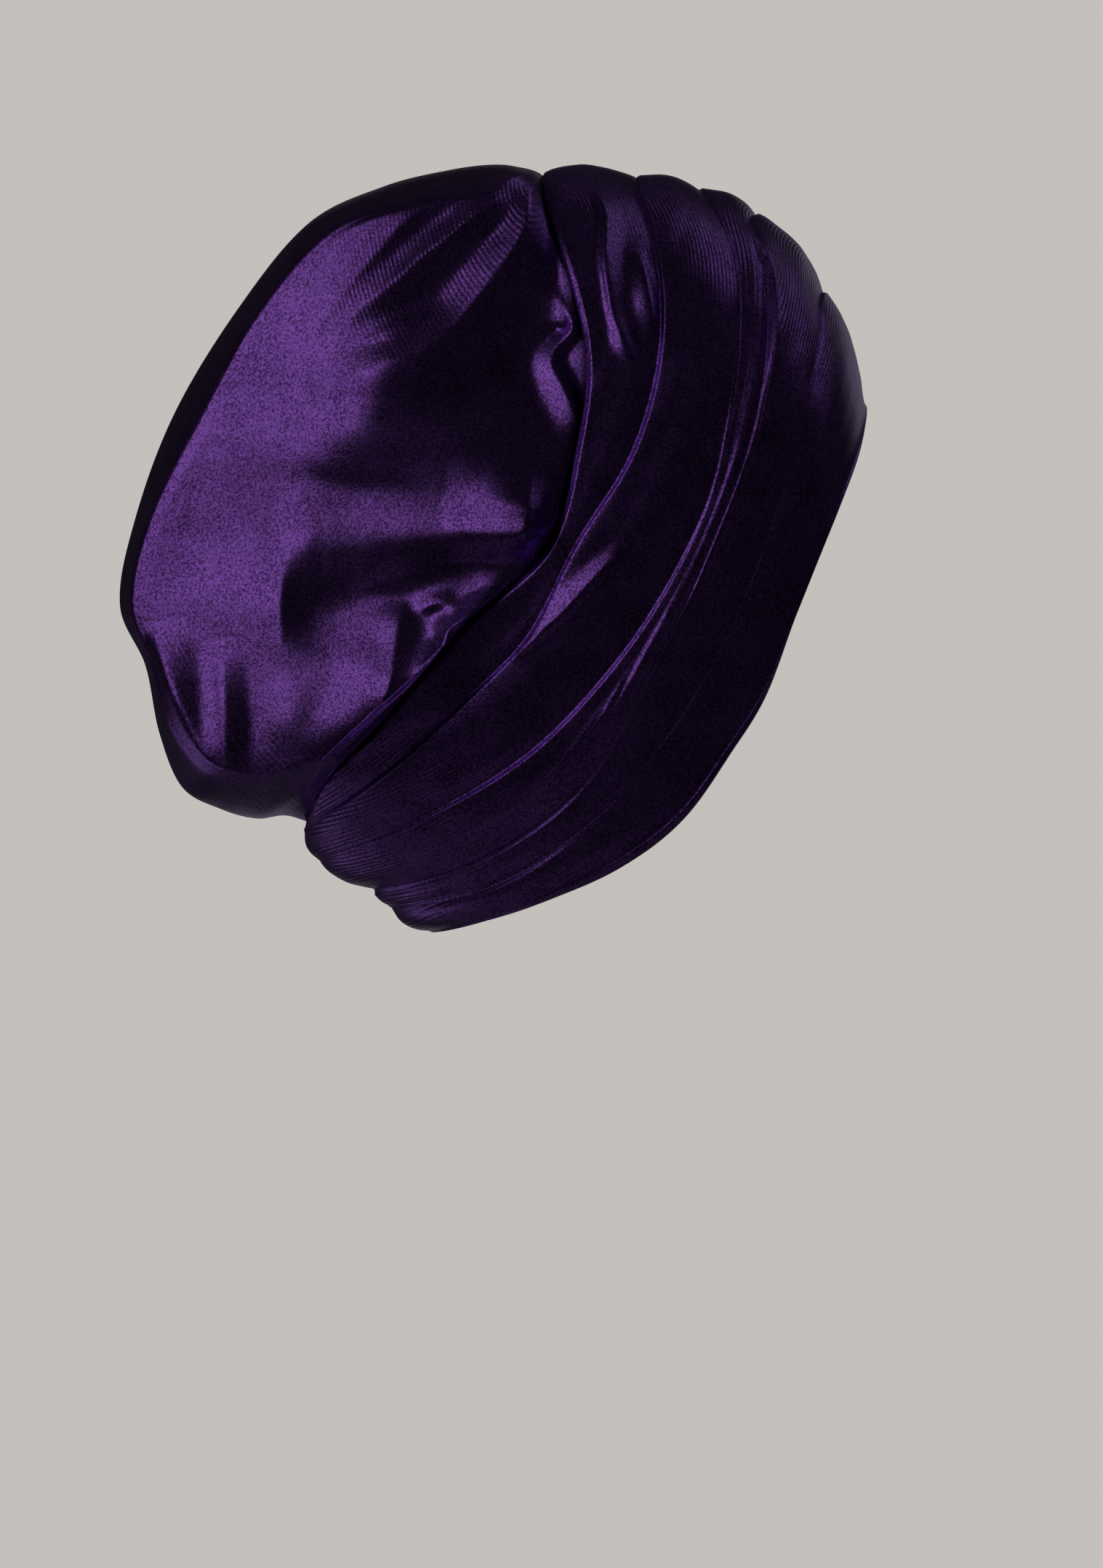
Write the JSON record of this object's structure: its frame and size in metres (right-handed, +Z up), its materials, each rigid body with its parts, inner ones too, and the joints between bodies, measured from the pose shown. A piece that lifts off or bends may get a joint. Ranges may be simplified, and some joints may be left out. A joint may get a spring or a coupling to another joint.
{
  "type": "slouch beanie",
  "caption": "Slouch beanie of stretch velvet: a wide draped band with rolled folds, gathered into a soft crown bag that falls back over the nape.",
  "frame": {"origin": "middle of the head opening, where the hat is worn, on its plane of symmetry", "axes": "+X forwards to the wearer's face, +Y to the wearer's left, +Z up with the head tilted a little back"},
  "size_m": [0.2458, 0.168, 0.2527],
  "materials": {
    "band_velvet": "deep purple stretch velvet, close short pile with a soft directional sheen",
    "crown_velvet": "deep purple stretch velvet, close short pile with a soft directional sheen"
  },
  "bodies": {
    "root": {"band": "band_velvet", "crown": "crown_velvet"}
  },
  "joints": []
}
